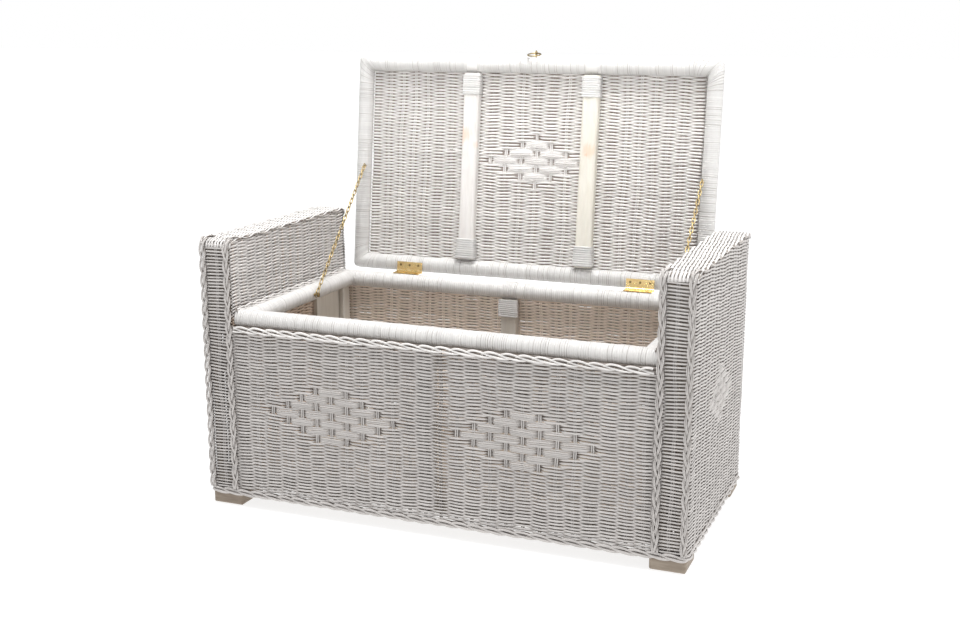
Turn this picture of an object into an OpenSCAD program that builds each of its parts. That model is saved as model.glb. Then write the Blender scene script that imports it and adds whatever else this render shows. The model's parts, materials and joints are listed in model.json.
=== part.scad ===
// Whitewashed wicker storage trunk: a bench-sized box between two hollow arms,
// with a framed lid on two butt hinges, held open by two brass chains.
// X runs along the front, Y towards the back, Z up. The feet stand on Z = 0.
// The lid is drawn open, leaning back on its chains.

/* [Overall size] */
// Width over both arms
trunk_w = 1100; // [1000:10:1200]
// Depth of the box, front to back
trunk_d = 540; // [500:10:600]
// Height of the arms above the floor
arm_h = 610; // [560:10:660]
// Width of each arm
arm_w = 75; // [65:1:90]
// Height of the rim above the floor
rim_h = 454; // [430:1:480]

/* [Woven walls] */
// Thickness of a woven wall
wall_t = 8; // [6:1:10]
// Diameter of the rolled border round the base
border_d = 22; // [16:1:24]

/* [Frame] */
// Diameter of the cane-wrapped rim poles
rim_pole_d = 40; // [34:1:42]
// Diameter of the poles that stand inside the arms
post_d = 24; // [20:1:26]
// Width and height of the base rails
rail_size = 24; // [20:1:26]
// Height of the feet that shows below the border
foot_h = 29; // [20:1:40]
// Width of a foot
foot_w = 77; // [60:1:80]
// Depth of a foot
foot_d = 78; // [60:1:90]

/* [Lid] */
// Length of the lid from the hinge line to its front edge
lid_len = 534; // [500:1:536]
// Width of the lid
lid_w = 921; // [900:1:930]
// Diameter of the lid's cane-wrapped poles
lid_pole_d = 38; // [34:1:40]
// Angle that the lid stands open, from closed
lid_open = 96.5; // [92:0.5:100]
// Distance of each batten's middle from the middle of the lid
batten_x = 151; // [120:1:180]

/* [Hardware] */
// Length of a butt hinge
hinge_len = 68; // [60:1:76]
// Distance from the middle of the trunk to the middle of each hinge
hinge_x = 297; // [250:1:330]
// Diameter of the wire in a chain link
wire_d = 2.5; // [2:0.1:2.8]
// Distance between the middles of two neighbouring links
link_pitch = 12.9; // [12.6:0.1:13]
// Radius of the pull ring
pull_r = 15.5; // [14:0.5:17]

/* [Hidden] */
$fn = 48;

reed_white = "#d5d0c8";
cane_white = "#efece6";
paint_white = "#f1ece2";
bare_wood = "#cdb9a2";
brass = "#c9a24a";

// The open lid overhangs the back, so the box's middle lies in front of the origin
box_shift = -46;
half_w = trunk_w / 2;
half_d = trunk_d / 2;
inner_x = half_w - arm_w;              // outer face of the box's ends, inner face of an arm
wall_y = half_d - wall_t;              // inner face of the front and back walls
border_z = foot_h + border_d / 2;
wall_z = foot_h + border_d;            // lower edge of the woven walls
rail_z = wall_z + 1;
floor_z = rail_z + rail_size;
floor_t = 8;
inside_z = floor_z + floor_t;
top_z = arm_h - wall_t;                // underside of an arm's woven top
arm_rail_h = 20;
post_top = top_z - arm_rail_h;
post_inner_x = inner_x + wall_t + post_d / 2;
post_outer_x = half_w - wall_t - post_d / 2;
post_y = wall_y - post_d / 2;

rim_r = rim_pole_d / 2;
rim_z = rim_h - rim_r;
rim_front_y = -(half_d - 6 - rim_r);
rim_back_y = half_d - rim_r;
rim_side_x = inner_x - rim_r;
rim_under = rim_z - rim_r;

// Hinge line, and the lid's own frame: y = 0, z = 0 on the hinge line, lid closed
leaf_t = 1.6;
leaf_gap = 0.2;
knuckle_r = 3.5;
pin_r = 1.9;
hinge_y = half_d + 1;
hinge_z = rim_h + leaf_gap + leaf_t + leaf_gap;
lid_r = lid_pole_d / 2;
lid_under = leaf_gap + leaf_t;
lid_mid = lid_under + lid_r;
lid_side_x = lid_w / 2 - lid_r;
panel_low = lid_mid + 4;
batten_w = 39;
batten_h = panel_low - lid_under;

// Chain: its plane, the screw on the rim and the eye on the lid
wire_r = wire_d / 2;
link_in = link_pitch + 0.3;
link_out = link_in + 2 * wire_d;
link_w = 9;
chain_x = 429.5;
rim_anchor_y = 29;
lid_anchor_y = -259;
lid_anchor_z = -3.5;
end_ring_r = 6;
end_ring_wire = 1.1;
first_wire = end_ring_r - end_ring_wire - wire_r - 0.15;
links_lower = 14;
links_upper = 15;
// Where the eye stands when the lid is open, and the chain's rise towards it
open_y = hinge_y + lid_anchor_y * cos(lid_open) + lid_anchor_z * sin(lid_open);
open_z = hinge_z - lid_anchor_y * sin(lid_open) + lid_anchor_z * cos(lid_open);
chain_rise = atan2(open_z - rim_z, open_y - rim_anchor_y);

screw_r = 1.5;
screw_len = 12;

// Ring pull on the lid's front edge
pull_x = 6;
pull_stand = 10;
pull_y = -lid_len - pull_stand;
pull_droop = 11;

module placed() translate([0, box_shift, 0]) children();
module on_lid() placed() translate([0, hinge_y, hinge_z]) rotate([-lid_open, 0, 0]) children();

// A box from its lowest corner to its highest
module block(low, high) translate(low) cube(high - low);
// Poles along X and along Y, centred on x = 0 or y = 0
module pole_x(len, r) rotate([0, 90, 0]) cylinder(h = len, r = r, center = true);
module pole_y(len, r) rotate([90, 0, 0]) cylinder(h = len, r = r, center = true);
module both_sides() { for (side = [-1, 1]) scale_side(side) children(); }
// Draws its children on the right, or mirrored on the left
module scale_side(side) { if (side > 0) children(); else mirror([1, 0, 0]) children(); }

module rounded_rect(w, d, r) {
    square([w - 2 * r, d], center = true);
    square([w, d - 2 * r], center = true);
    for (x = [-1, 1], y = [-1, 1])
        translate([x * (w / 2 - r), y * (d / 2 - r)]) circle(r);
}

// ---------------------------------------------------------------- feet and base
// A foot seen square on: rounded where it meets the floor
module foot_outline(length) {
    toe_r = 9;
    translate([-length / 2, toe_r]) square([length, foot_h - toe_r]);
    translate([-length / 2 + toe_r, 0]) square([length - 2 * toe_r, foot_h]);
    for (x = [-1, 1]) translate([x * (length / 2 - toe_r), toe_r]) circle(toe_r);
}
module foot(side, end) {
    foot_x = half_w - 3 - foot_w / 2;
    foot_y = half_d - 3 - foot_d / 2;
    stub_x = half_w - 44.5;
    color(paint_white) placed() {
        translate([side * foot_x, end * foot_y, 0]) intersection() {
            linear_extrude(foot_h) rounded_rect(foot_w, foot_d, 8);
            rotate([90, 0, 0]) linear_extrude(foot_d, center = true) foot_outline(foot_w);
            rotate([90, 0, 90]) linear_extrude(foot_w, center = true) foot_outline(foot_d);
        }
        // The stub that carries the base rail
        translate([side * stub_x - 26, end * foot_y + (end > 0 ? -24 : -15), foot_h])
            cube([48, 39, rail_z - foot_h]);
    }
}
module foot_front_left() foot(-1, -1);
module foot_front_right() foot(1, -1);
module foot_back_left() foot(-1, 1);
module foot_back_right() foot(1, 1);

module base_rails_long() color(bare_wood) placed()
    for (end = [-1, 1])
        translate([0, end * (wall_y - rail_size / 2), rail_z + rail_size / 2])
            cube([2 * (half_w - wall_t), rail_size, rail_size], center = true);

module base_rails_side() color(bare_wood) placed() both_sides()
    for (x = [inner_x - 8, half_w - wall_t - rail_size])
        block([x, -(wall_y - rail_size), rail_z], [x + rail_size, wall_y - rail_size, floor_z]);

module floor_panel() color(bare_wood) placed()
    block([-inner_x, -wall_y, floor_z], [inner_x, wall_y, inside_z]);

// ---------------------------------------------------------------- posts and arm frames
module arm_posts(side) color(bare_wood) placed()
    for (x = [post_inner_x, post_outer_x], end = [-1, 1])
        translate([side * x, end * post_y, floor_z]) cylinder(h = post_top - floor_z, d = post_d);
module arm_posts_left() arm_posts(-1);
module arm_posts_right() arm_posts(1);

module arm_top_frame(side) color(bare_wood) placed() scale_side(side) {
    low_x = inner_x + wall_t;
    high_x = half_w - wall_t;
    for (x = [low_x, high_x - arm_rail_h])
        block([x, -wall_y, post_top], [x + arm_rail_h, wall_y, top_z]);
    for (y = [-wall_y, -arm_rail_h / 2, wall_y - arm_rail_h])
        block([low_x + arm_rail_h, y, post_top], [high_x - arm_rail_h, y + arm_rail_h, top_z]);
}
module arm_top_frame_left() arm_top_frame(-1);
module arm_top_frame_right() arm_top_frame(1);

module box_corner_posts() color(paint_white) placed() both_sides()
    for (end = [-1, 1])
        translate([inner_x - 11, end * 229, inside_z])
            linear_extrude(rim_under - 1 - inside_z) rounded_rect(22, 34, 3);

module side_boards() color(paint_white) placed() both_sides()
    block([inner_x - 10, 95, inside_z], [inner_x, 208, rim_under - 1]);

// A flat post inside the middle of each long wall, bound with cane at its head
mid_post_x = -20;
module mid_posts() color(paint_white) placed()
    for (end = [-1, 1]) scale_end(end) {
        block([mid_post_x - 19, wall_y - 22, inside_z], [mid_post_x + 19, wall_y, rim_under - 1]);
        block([mid_post_x - 23, wall_y - 27, rim_under - 44],
              [mid_post_x + 23, wall_y - 22, rim_under - 1]);
    }
module scale_end(end) { if (end > 0) children(); else mirror([0, 1, 0]) children(); }

// A plain strap round the back rim pole, over the middle post
module rim_strap() color(cane_white) placed()
    translate([mid_post_x, rim_back_y, rim_z]) difference() {
        pole_x(34, rim_r + 1.5);
        pole_x(36, rim_r);
        // The strap stops short of the back wall and the post
        block([-20, -12, -rim_r - 3], [20, rim_r + 3, 0]);
    }

// ---------------------------------------------------------------- rim
module rim_pole_front() color(cane_white) placed()
    translate([0, rim_front_y, rim_z]) pole_x(2 * inner_x, rim_r);

module rim_pole_back() color(cane_white) placed() difference() {
    translate([0, rim_back_y, rim_z]) pole_x(2 * inner_x, rim_r);
    rim_screws();
}

module rim_pole_side(side) color(cane_white) placed() scale_side(side) difference() {
    translate([rim_side_x, (rim_front_y + rim_back_y) / 2, rim_z])
        pole_y(rim_back_y - rim_front_y, rim_r);
    for (y = [rim_front_y, rim_back_y])
        translate([0, y, rim_z]) pole_x(2 * trunk_w, rim_r);
    anchor_shank();
}
module rim_pole_left() rim_pole_side(-1);
module rim_pole_right() rim_pole_side(1);

// ---------------------------------------------------------------- woven walls
module long_wall(end, top) color(reed_white) placed() scale_end(end)
    block([-inner_x, wall_y, wall_z], [inner_x, half_d, top]);
module front_panel() long_wall(-1, rim_under + 10);
module back_panel() long_wall(1, rim_under - 1);

module arm_inner_panel(side) color(reed_white) placed() scale_side(side)
    block([inner_x, -wall_y, floor_z], [inner_x + wall_t, wall_y, top_z]);
module arm_inner_panel_left() arm_inner_panel(-1);
module arm_inner_panel_right() arm_inner_panel(1);

module arm_outer_panel(side) color(reed_white) placed() scale_side(side)
    block([half_w - wall_t, -wall_y, wall_z], [half_w, wall_y, top_z]);
module arm_outer_panel_left() arm_outer_panel(-1);
module arm_outer_panel_right() arm_outer_panel(1);

module arm_end_panel(side, end) color(reed_white) placed() scale_side(side) scale_end(end)
    block([inner_x, wall_y, wall_z], [half_w, half_d, top_z]);
module arm_front_panel_left() arm_end_panel(-1, -1);
module arm_front_panel_right() arm_end_panel(1, -1);
module arm_back_panel_left() arm_end_panel(-1, 1);
module arm_back_panel_right() arm_end_panel(1, 1);

module arm_top_panel(side) color(reed_white) placed() scale_side(side)
    block([inner_x, -half_d, top_z], [half_w, half_d, arm_h]);
module arm_top_panel_left() arm_top_panel(-1);
module arm_top_panel_right() arm_top_panel(1);

// ---------------------------------------------------------------- braids and border
braid_t = 7;
plait_w = 18;
module rim_braid() color(reed_white) placed()
    block([-inner_x, -half_d - braid_t, rim_under - 8], [inner_x, -half_d, rim_under + 7]);

module arm_braids(side) color(reed_white) placed() scale_side(side)
    for (x = [inner_x, half_w - plait_w])
        block([x, -half_d - braid_t, wall_z], [x + plait_w, -half_d, arm_h]);
module arm_braids_left() arm_braids(-1);
module arm_braids_right() arm_braids(1);

border_r = border_d / 2;
border_x = half_w - 4;
border_y = half_d - 4;
module borders_long() color(reed_white) placed()
    for (end = [-1, 1])
        translate([0, end * border_y, border_z]) pole_x(2 * (border_x + border_r), border_r);
module borders_side() color(reed_white) placed() both_sides()
    translate([border_x, 0, border_z]) pole_y(2 * (border_y - border_r), border_r);

// ---------------------------------------------------------------- lid
module lid_pole_front() color(cane_white) on_lid() difference() {
    translate([0, -lid_len + lid_r, lid_mid]) pole_x(lid_w, lid_r);
    pull_shank();
}

module lid_pole_back() color(cane_white) on_lid() difference() {
    translate([0, -lid_r, lid_mid]) pole_x(lid_w, lid_r);
    lid_screws();
}

module lid_pole_side(side) color(cane_white) on_lid() scale_side(side) difference() {
    translate([lid_side_x, -lid_len / 2, lid_mid]) pole_y(lid_len - lid_pole_d, lid_r);
    for (y = [-lid_r, -lid_len + lid_r]) translate([0, y, lid_mid]) pole_x(2 * trunk_w, lid_r);
    eye_shank();
}
module lid_pole_left() lid_pole_side(-1);
module lid_pole_right() lid_pole_side(1);

// The woven panel lies above the middle of the poles, let in between them
module lid_panel() color(reed_white) on_lid() difference() {
    block([-lid_side_x, -lid_len + lid_r, panel_low], [lid_side_x, -lid_r, panel_low + wall_t]);
    for (x = [-lid_side_x, lid_side_x])
        translate([x, -lid_len / 2, lid_mid]) pole_y(lid_len, lid_r);
    for (y = [-lid_r, -lid_len + lid_r]) translate([0, y, lid_mid]) pole_x(lid_w, lid_r);
}

batten_back = -lid_pole_d - 2;
batten_front = -lid_len + lid_pole_d + 2;
module lid_batten(side) color(paint_white) on_lid()
    translate([side * batten_x, batten_back, lid_under]) rotate([90, 0, 0])
        linear_extrude(batten_back - batten_front) polygon([
            [-batten_w / 2, batten_h], [-batten_w / 2, 4], [-batten_w / 2 + 4, 0],
            [batten_w / 2 - 4, 0], [batten_w / 2, 4], [batten_w / 2, batten_h]]);
module lid_batten_left() lid_batten(-1);
module lid_batten_right() lid_batten(1);

// Cane bound round both ends of each batten, and a strap from it over the front pole
binding_t = 3.5;
module binding(y) difference() {
    block([-batten_w / 2 - binding_t, y, -binding_t],
          [batten_w / 2 + binding_t, y + 48, batten_h]);
    block([-batten_w / 2, y - 1, 0], [batten_w / 2, y + 49, batten_h + 1]);
}
module batten_bindings() color(cane_white) on_lid()
    for (side = [-1, 1]) translate([side * batten_x, 0, 0]) {
        for (y = [batten_back - 50, batten_front + 2]) translate([0, 0, lid_under]) binding(y);
        translate([0, -lid_len + lid_r, lid_mid]) difference() {
            pole_x(24, lid_r + 1.5);
            pole_x(26, lid_r);
            block([-14, -lid_r - 3, 0], [14, lid_r + 3, lid_r + 3]);
        }
    }

// ---------------------------------------------------------------- hinges
leaf_reach = 24;
leaf_start = knuckle_r + 0.5;
knuckles = 5;
knuckle_len = hinge_len / knuckles;
hinge_holes = [-24, 0, 24];
leaf_mid = 16;

// One leaf lying on +Z against the hinge line; own lists the knuckles that it carries
module leaf(own, bore_r) difference() {
    union() {
        block([-hinge_len / 2, -leaf_reach, leaf_gap], [hinge_len / 2, -leaf_start, leaf_gap + leaf_t]);
        for (k = own) translate([-hinge_len / 2 + k * knuckle_len + 0.1, 0, 0]) {
            block([0, -leaf_start, leaf_gap], [knuckle_len - 0.2, 0, leaf_gap + leaf_t]);
            rotate([0, 90, 0]) cylinder(h = knuckle_len - 0.2, r = knuckle_r);
        }
    }
    rotate([0, 90, 0]) cylinder(h = 2 * hinge_len, r = bore_r, center = true);
    for (x = hinge_holes) translate([x, -leaf_mid, leaf_gap]) mirror([0, 0, 1]) screw();
}
module hinge_rim_leaf(side) color(brass) placed()
    translate([side * hinge_x, hinge_y, hinge_z]) mirror([0, 0, 1]) leaf([0, 2, 4], pin_r);
module hinge_rim_leaf_left() hinge_rim_leaf(-1);
module hinge_rim_leaf_right() hinge_rim_leaf(1);

module hinge_lid_leaf(side) color(brass) on_lid()
    translate([side * hinge_x, 0, 0]) leaf([1, 3], pin_r + 0.05);
module hinge_lid_leaf_left() hinge_lid_leaf(-1);
module hinge_lid_leaf_right() hinge_lid_leaf(1);

module hinge_pins() color(brass) placed() both_sides()
    translate([hinge_x, hinge_y, hinge_z]) pole_x(hinge_len + 1, pin_r);

// A countersunk screw pointing down, its flat head level with z = 0
module screw() {
    translate([0, 0, -screw_len]) cylinder(h = screw_len, r = screw_r);
    translate([0, 0, -screw_r]) cylinder(h = screw_r, r1 = screw_r, r2 = 2 * screw_r);
}
module rim_screws() for (side = [-1, 1], x = hinge_holes)
    translate([side * hinge_x + x, hinge_y - leaf_mid, hinge_z - leaf_gap]) screw();
module hinge_screws_rim() color(brass) placed() rim_screws();

module lid_screws() for (side = [-1, 1], x = hinge_holes)
    translate([side * hinge_x + x, -leaf_mid, leaf_gap]) mirror([0, 0, 1]) screw();
module hinge_screws_lid() color(brass) on_lid() lid_screws();

// ---------------------------------------------------------------- chains
// One oval link along +Y, its broad side across X when flat is 0 and across Z when it is 1
module chain_link(flat) rotate([0, 90 * flat, 0]) {
    bend_r = link_w / 2 - wire_r;
    straight = link_out - link_w;
    for (side = [-1, 1]) {
        translate([side * bend_r, 0, 0]) pole_y(straight, wire_r);
        translate([0, side * straight / 2, 0]) mirror([0, side < 0 ? 1 : 0, 0])
            rotate_extrude(angle = 180) translate([bend_r, 0]) circle(wire_r, $fn = 24);
    }
}
// A run of links along +Y from the wire that hooks in at y = start
module chain_run(count, start, flat) for (k = [0 : count - 1])
    translate([0, start + link_out / 2 - wire_r + k * link_pitch, 0]) chain_link((k + flat) % 2);

// The lower half turns on a screw in the rim; its end ring lies across the screw
module chain_lower(side) color(brass) placed() scale_side(side)
    translate([chain_x, rim_anchor_y, rim_z]) rotate([chain_rise, 0, 0]) {
        rotate([0, 90, 0]) rotate_extrude() translate([end_ring_r, 0]) circle(end_ring_wire, $fn = 24);
        chain_run(links_lower, first_wire, 0);
    }
module chain_lower_left() chain_lower(-1);
module chain_lower_right() chain_lower(1);

// The upper half turns in the lid's eye, and runs down to meet the lower half
module chain_upper(side) color(brass) placed() scale_side(side)
    translate([chain_x, open_y, open_z]) rotate([chain_rise + 180, 0, 0]) chain_run(links_upper, 0, 0);
module chain_upper_left() chain_upper(-1);
module chain_upper_right() chain_upper(1);

// A round-headed screw stands out of the rim far enough for the first link to turn on it
anchor_r = 1.8;
anchor_head_t = 2;
anchor_room = link_w / 2 + 0.4;
anchor_collar = 3.7;                   // start of the collar, past the first link's bend
module anchor_shank() translate([chain_x, rim_anchor_y, rim_z]) rotate([0, 90, 0])
    cylinder(h = 15, r = anchor_r);
module chain_screws_rim() color(brass) placed() both_sides() {
    anchor_shank();
    translate([chain_x, rim_anchor_y, rim_z]) rotate([0, 90, 0]) {
        translate([0, 0, -anchor_head_t - anchor_room]) cylinder(h = anchor_head_t, r = 5.2);
        translate([0, 0, -anchor_room]) cylinder(h = anchor_room, r = anchor_r);
        translate([0, 0, anchor_collar])
            cylinder(h = rim_side_x - rim_r - chain_x - anchor_collar, r = 3.2);
    }
}

eye_r = 4.5;
module eye_shank() translate([chain_x, lid_anchor_y, lid_anchor_z + eye_r])
    cylinder(h = 22, r = screw_r);
module chain_eyes_lid() color(brass) on_lid() both_sides() {
    eye_shank();
    translate([chain_x, lid_anchor_y, lid_anchor_z]) rotate([0, 90, 0])
        rotate_extrude() translate([eye_r, 0]) circle(1.3, $fn = 24);
}

// ---------------------------------------------------------------- ring pull
pull_eye_r = 5.2;
module pull_shank() translate([pull_x, -lid_len - pull_stand + pull_eye_r, lid_mid])
    rotate([-90, 0, 0]) cylinder(h = 20, r = screw_r);
module ring_pull_eye() color(brass) on_lid() {
    pull_shank();
    translate([pull_x, pull_y, lid_mid]) rotate([0, 90, 0])
        rotate_extrude() translate([pull_eye_r, 0]) circle(1.4, $fn = 24);
}
// The ring hangs in the eye, towards the front of the open lid
module ring_pull_ring() color(brass) on_lid()
    translate([pull_x, pull_y, lid_mid]) rotate([lid_open + 180 + pull_droop, 0, 0])
        translate([0, pull_r, 0]) rotate_extrude() translate([pull_r, 0]) circle(1.6, $fn = 24);

foot_front_left();
foot_front_right();
foot_back_left();
foot_back_right();
base_rails_long();
base_rails_side();
floor_panel();
arm_posts_left();
arm_posts_right();
arm_top_frame_left();
arm_top_frame_right();
box_corner_posts();
side_boards();
mid_posts();
rim_strap();
rim_pole_front();
rim_pole_back();
rim_pole_left();
rim_pole_right();
front_panel();
back_panel();
arm_inner_panel_left();
arm_inner_panel_right();
arm_outer_panel_left();
arm_outer_panel_right();
arm_front_panel_left();
arm_front_panel_right();
arm_back_panel_left();
arm_back_panel_right();
arm_top_panel_left();
arm_top_panel_right();
rim_braid();
arm_braids_left();
arm_braids_right();
borders_long();
borders_side();
lid_pole_front();
lid_pole_back();
lid_pole_left();
lid_pole_right();
lid_panel();
lid_batten_left();
lid_batten_right();
batten_bindings();
hinge_rim_leaf_left();
hinge_rim_leaf_right();
hinge_lid_leaf_left();
hinge_lid_leaf_right();
hinge_pins();
hinge_screws_rim();
hinge_screws_lid();
chain_screws_rim();
chain_eyes_lid();
chain_lower_left();
chain_lower_right();
chain_upper_left();
chain_upper_right();
ring_pull_eye();
ring_pull_ring();
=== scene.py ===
import json
import math

import bpy
import numpy as np
from mathutils import Matrix, Vector


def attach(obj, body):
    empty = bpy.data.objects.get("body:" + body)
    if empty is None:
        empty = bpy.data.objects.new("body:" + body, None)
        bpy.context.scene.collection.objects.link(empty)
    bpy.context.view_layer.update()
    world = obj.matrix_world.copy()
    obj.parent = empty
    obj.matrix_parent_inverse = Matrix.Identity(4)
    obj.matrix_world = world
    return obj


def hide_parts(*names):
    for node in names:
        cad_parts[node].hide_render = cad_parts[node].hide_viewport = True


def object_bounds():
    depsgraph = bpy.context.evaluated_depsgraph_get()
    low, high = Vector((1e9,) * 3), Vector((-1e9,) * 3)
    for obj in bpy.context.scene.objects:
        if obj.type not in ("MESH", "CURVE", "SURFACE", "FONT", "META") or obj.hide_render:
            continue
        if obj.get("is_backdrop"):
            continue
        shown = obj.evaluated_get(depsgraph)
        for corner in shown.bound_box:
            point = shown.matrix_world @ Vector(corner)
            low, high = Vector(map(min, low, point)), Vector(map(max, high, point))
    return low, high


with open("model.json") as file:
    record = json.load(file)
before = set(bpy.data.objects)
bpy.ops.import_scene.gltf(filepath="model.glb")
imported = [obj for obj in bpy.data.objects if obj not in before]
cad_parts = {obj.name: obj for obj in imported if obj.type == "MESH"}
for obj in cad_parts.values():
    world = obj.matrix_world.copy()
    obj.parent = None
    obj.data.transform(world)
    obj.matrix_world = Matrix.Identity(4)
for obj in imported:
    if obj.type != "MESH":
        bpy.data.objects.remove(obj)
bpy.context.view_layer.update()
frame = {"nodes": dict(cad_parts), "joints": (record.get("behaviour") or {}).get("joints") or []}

# Lengths in this script are millimetres, in the CAD's frame; the mesh builder turns them into metres.
MM = 0.001

# ---- the frame in millimetres
BODY = "trunk"
SIDES = {"left": -1, "right": 1}
hinge = next(j for j in frame["joints"] if j["name"] == "lid_hinge")
LID_OPEN = math.radians(hinge["range_deg"][1])
# The lid's own frame: x, y, z with the lid closed and the hinge line at y = 0, z = 0
LID = Matrix.Translation(Vector(hinge["pos_m"])) @ Matrix.Rotation(-LID_OPEN, 4, "X")
WORLD = Matrix.Identity(4)


def box(*nodes, place=WORLD):
    """Lowest and highest corner of CAD nodes, in millimetres, in the frame that place stands for."""
    back = np.array(place.inverted())
    points = []
    for name in nodes:
        mesh = frame["nodes"][name].data
        flat = np.empty(len(mesh.vertices) * 3, np.float32)
        mesh.vertices.foreach_get("co", flat)
        points.append(flat.reshape(-1, 3).astype(float) @ back[:3, :3].T + back[:3, 3])
    points = np.concatenate(points) / MM
    return points.min(0), points.max(0)


def middle(*nodes, place=WORLD):
    low, high = box(*nodes, place=place)
    return (low + high) / 2


def smooth(value, low, high):
    share = np.clip((value - low) / (high - low), 0, 1)
    return share * share * (3 - 2 * share)


def spaced(length, count):
    """Places evenly along a length, half a step in from both ends."""
    return (np.arange(count) + 0.5) * length / count


# ---- mesh builder
GRAIN_SCALE = 0.05  # how fast the grain runs along a strand, per millimetre
GRAIN_SPREAD = 900  # how far off each strand's own stretch of grain may lie
GRAIN_SEED = 1000


class Strands:
    """Collects reeds, each a row of rings, and makes one mesh of them."""

    def __init__(self):
        self.points, self.faces = [], []
        self.tones, self.paints, self.grains = [], [], []
        self.total = 0

    def add(self, rings, tone=1.0, paint=1.0, along=None, seed=0):
        """rings holds strand, ring, side, xyz. tone and paint are per strand, ring or side."""
        strands, count, sides = rings.shape[:3]
        grid = np.arange(strands * count * sides).reshape(strands, count, sides) + self.total
        after = np.roll(grid, -1, axis=2)
        quads = [np.stack([grid[:, :-1], after[:, :-1], after[:, 1:], grid[:, 1:]], -1).reshape(-1, 4)]
        for k in range(1, sides - 2, 2):
            quads.append(grid[:, 0][:, [0, k + 2, k + 1, k]])
            quads.append(grid[:, -1][:, [0, k, k + 1, k + 2]])
        quads = np.concatenate(quads)
        middles = rings.mean(2)
        edge = rings[0, 0, 1] - rings[0, 0, 0]
        out = rings[0, 0, 0] - middles[0, 0]
        if np.dot(np.cross(edge, middles[0, 1] - middles[0, 0]), out) < 0:
            quads = quads[:, ::-1]
        self.points.append(rings.reshape(-1, 3))
        self.faces.append(quads)
        shape = rings.shape[:3]
        for store, value in ((self.tones, tone), (self.paints, paint)):
            value = np.asarray(value, float)
            value = value.reshape(value.shape + (1,) * (3 - value.ndim))
            store.append(np.broadcast_to(value, shape).reshape(-1))
        if along is None:
            steps = np.linalg.norm(np.diff(middles, axis=1), axis=2)
            along = np.concatenate([np.zeros((strands, 1)), np.cumsum(steps, axis=1)], axis=1)
        turn = np.arange(sides) * 2 * math.pi / sides
        own = np.random.default_rng(seed + GRAIN_SEED).uniform(0, GRAIN_SPREAD, strands)[:, None, None]
        grain = np.broadcast_arrays(along[:, :, None] * GRAIN_SCALE + own, np.cos(turn) + own, np.sin(turn))
        self.grains.append(np.stack(grain, -1).reshape(-1, 3))
        self.total += strands * count * sides

    def build(self, name, material, slot, replaces=(), body=BODY, place=WORLD):
        """Makes the mesh, which lies where place says and stands in for the CAD nodes in replaces."""
        points = np.concatenate(self.points) * MM
        turn = np.array(place)
        points = points @ turn[:3, :3].T + turn[:3, 3]
        faces = np.concatenate(self.faces)
        mesh = bpy.data.meshes.new(name)
        mesh.vertices.add(len(points))
        mesh.vertices.foreach_set("co", points.astype(np.float32).ravel())
        mesh.loops.add(faces.size)
        mesh.loops.foreach_set("vertex_index", faces.astype(np.int32).ravel())
        mesh.polygons.add(len(faces))
        mesh.polygons.foreach_set("loop_start", np.arange(len(faces), dtype=np.int32) * 4)
        mesh.update(calc_edges=True)
        mesh.validate()
        mesh.polygons.foreach_set("use_smooth", np.ones(len(mesh.polygons), bool))
        for label, kind, field, values in (
            ("tone", "FLOAT", "value", self.tones),
            ("paint", "FLOAT", "value", self.paints),
            ("grain", "FLOAT_VECTOR", "vector", self.grains),
        ):
            attribute = mesh.attributes.new(label, kind, "POINT")
            attribute.data.foreach_set(field, np.concatenate(values).astype(np.float32).ravel())
        mesh.materials.append(material)
        piece = bpy.data.objects.new(name, mesh)
        bpy.context.scene.collection.objects.link(piece)
        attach(piece, body)
        if replaces:
            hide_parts(*replaces)


def section(sides):
    """A strand's round section, as cosines and sines."""
    turn = (np.arange(sides) + 0.5) * 2 * math.pi / sides
    return np.cos(turn), np.sin(turn)


class Sheet:
    """A sheet bent along a line of corners: u runs along the line, v across it, n out of it."""

    BEND_STEPS = 9

    def __init__(self, corners, across, radius=10.0, out=1):
        corners = [np.array(c, float) for c in corners]
        self.across = np.array(across, float)
        points, ways = [corners[0]], []
        for before, corner, after in zip(corners, corners[1:], corners[2:]):
            came = (corner - before) / np.linalg.norm(corner - before)
            goes = (after - corner) / np.linalg.norm(after - corner)
            bend = math.acos(np.clip(came @ goes, -1, 1))
            reach = radius * math.tan(bend / 2)
            start = corner - came * reach
            side = (goes - came @ goes * came) / math.sin(bend)
            if len(ways) == 0:
                ways.append(came)
            for turn in np.linspace(0, bend, self.BEND_STEPS):
                points.append(start + radius * (math.sin(turn) * came + (1 - math.cos(turn)) * side))
                ways.append(math.cos(turn) * came + math.sin(turn) * side)
        last = corners[-1] - corners[-2]
        ways += [last / np.linalg.norm(last)] * (2 if len(corners) == 2 else 1)
        points.append(corners[-1])
        self.points = np.array(points)
        self.outs = out * np.cross(np.array(ways), self.across)
        self.at = np.concatenate([[0], np.cumsum(np.linalg.norm(np.diff(self.points, axis=0), axis=1))])
        self.length = self.at[-1]

    def place(self, u, v, n):
        """Points in space for places on the sheet."""
        u, v, n = np.broadcast_arrays(u, v, n)
        point = np.stack([np.interp(u, self.at, self.points[:, k]) for k in range(3)], -1)
        out = np.stack([np.interp(u, self.at, self.outs[:, k]) for k in range(3)], -1)
        out /= np.linalg.norm(out, axis=-1, keepdims=True)
        return point + v[..., None] * self.across + n[..., None] * out


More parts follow.
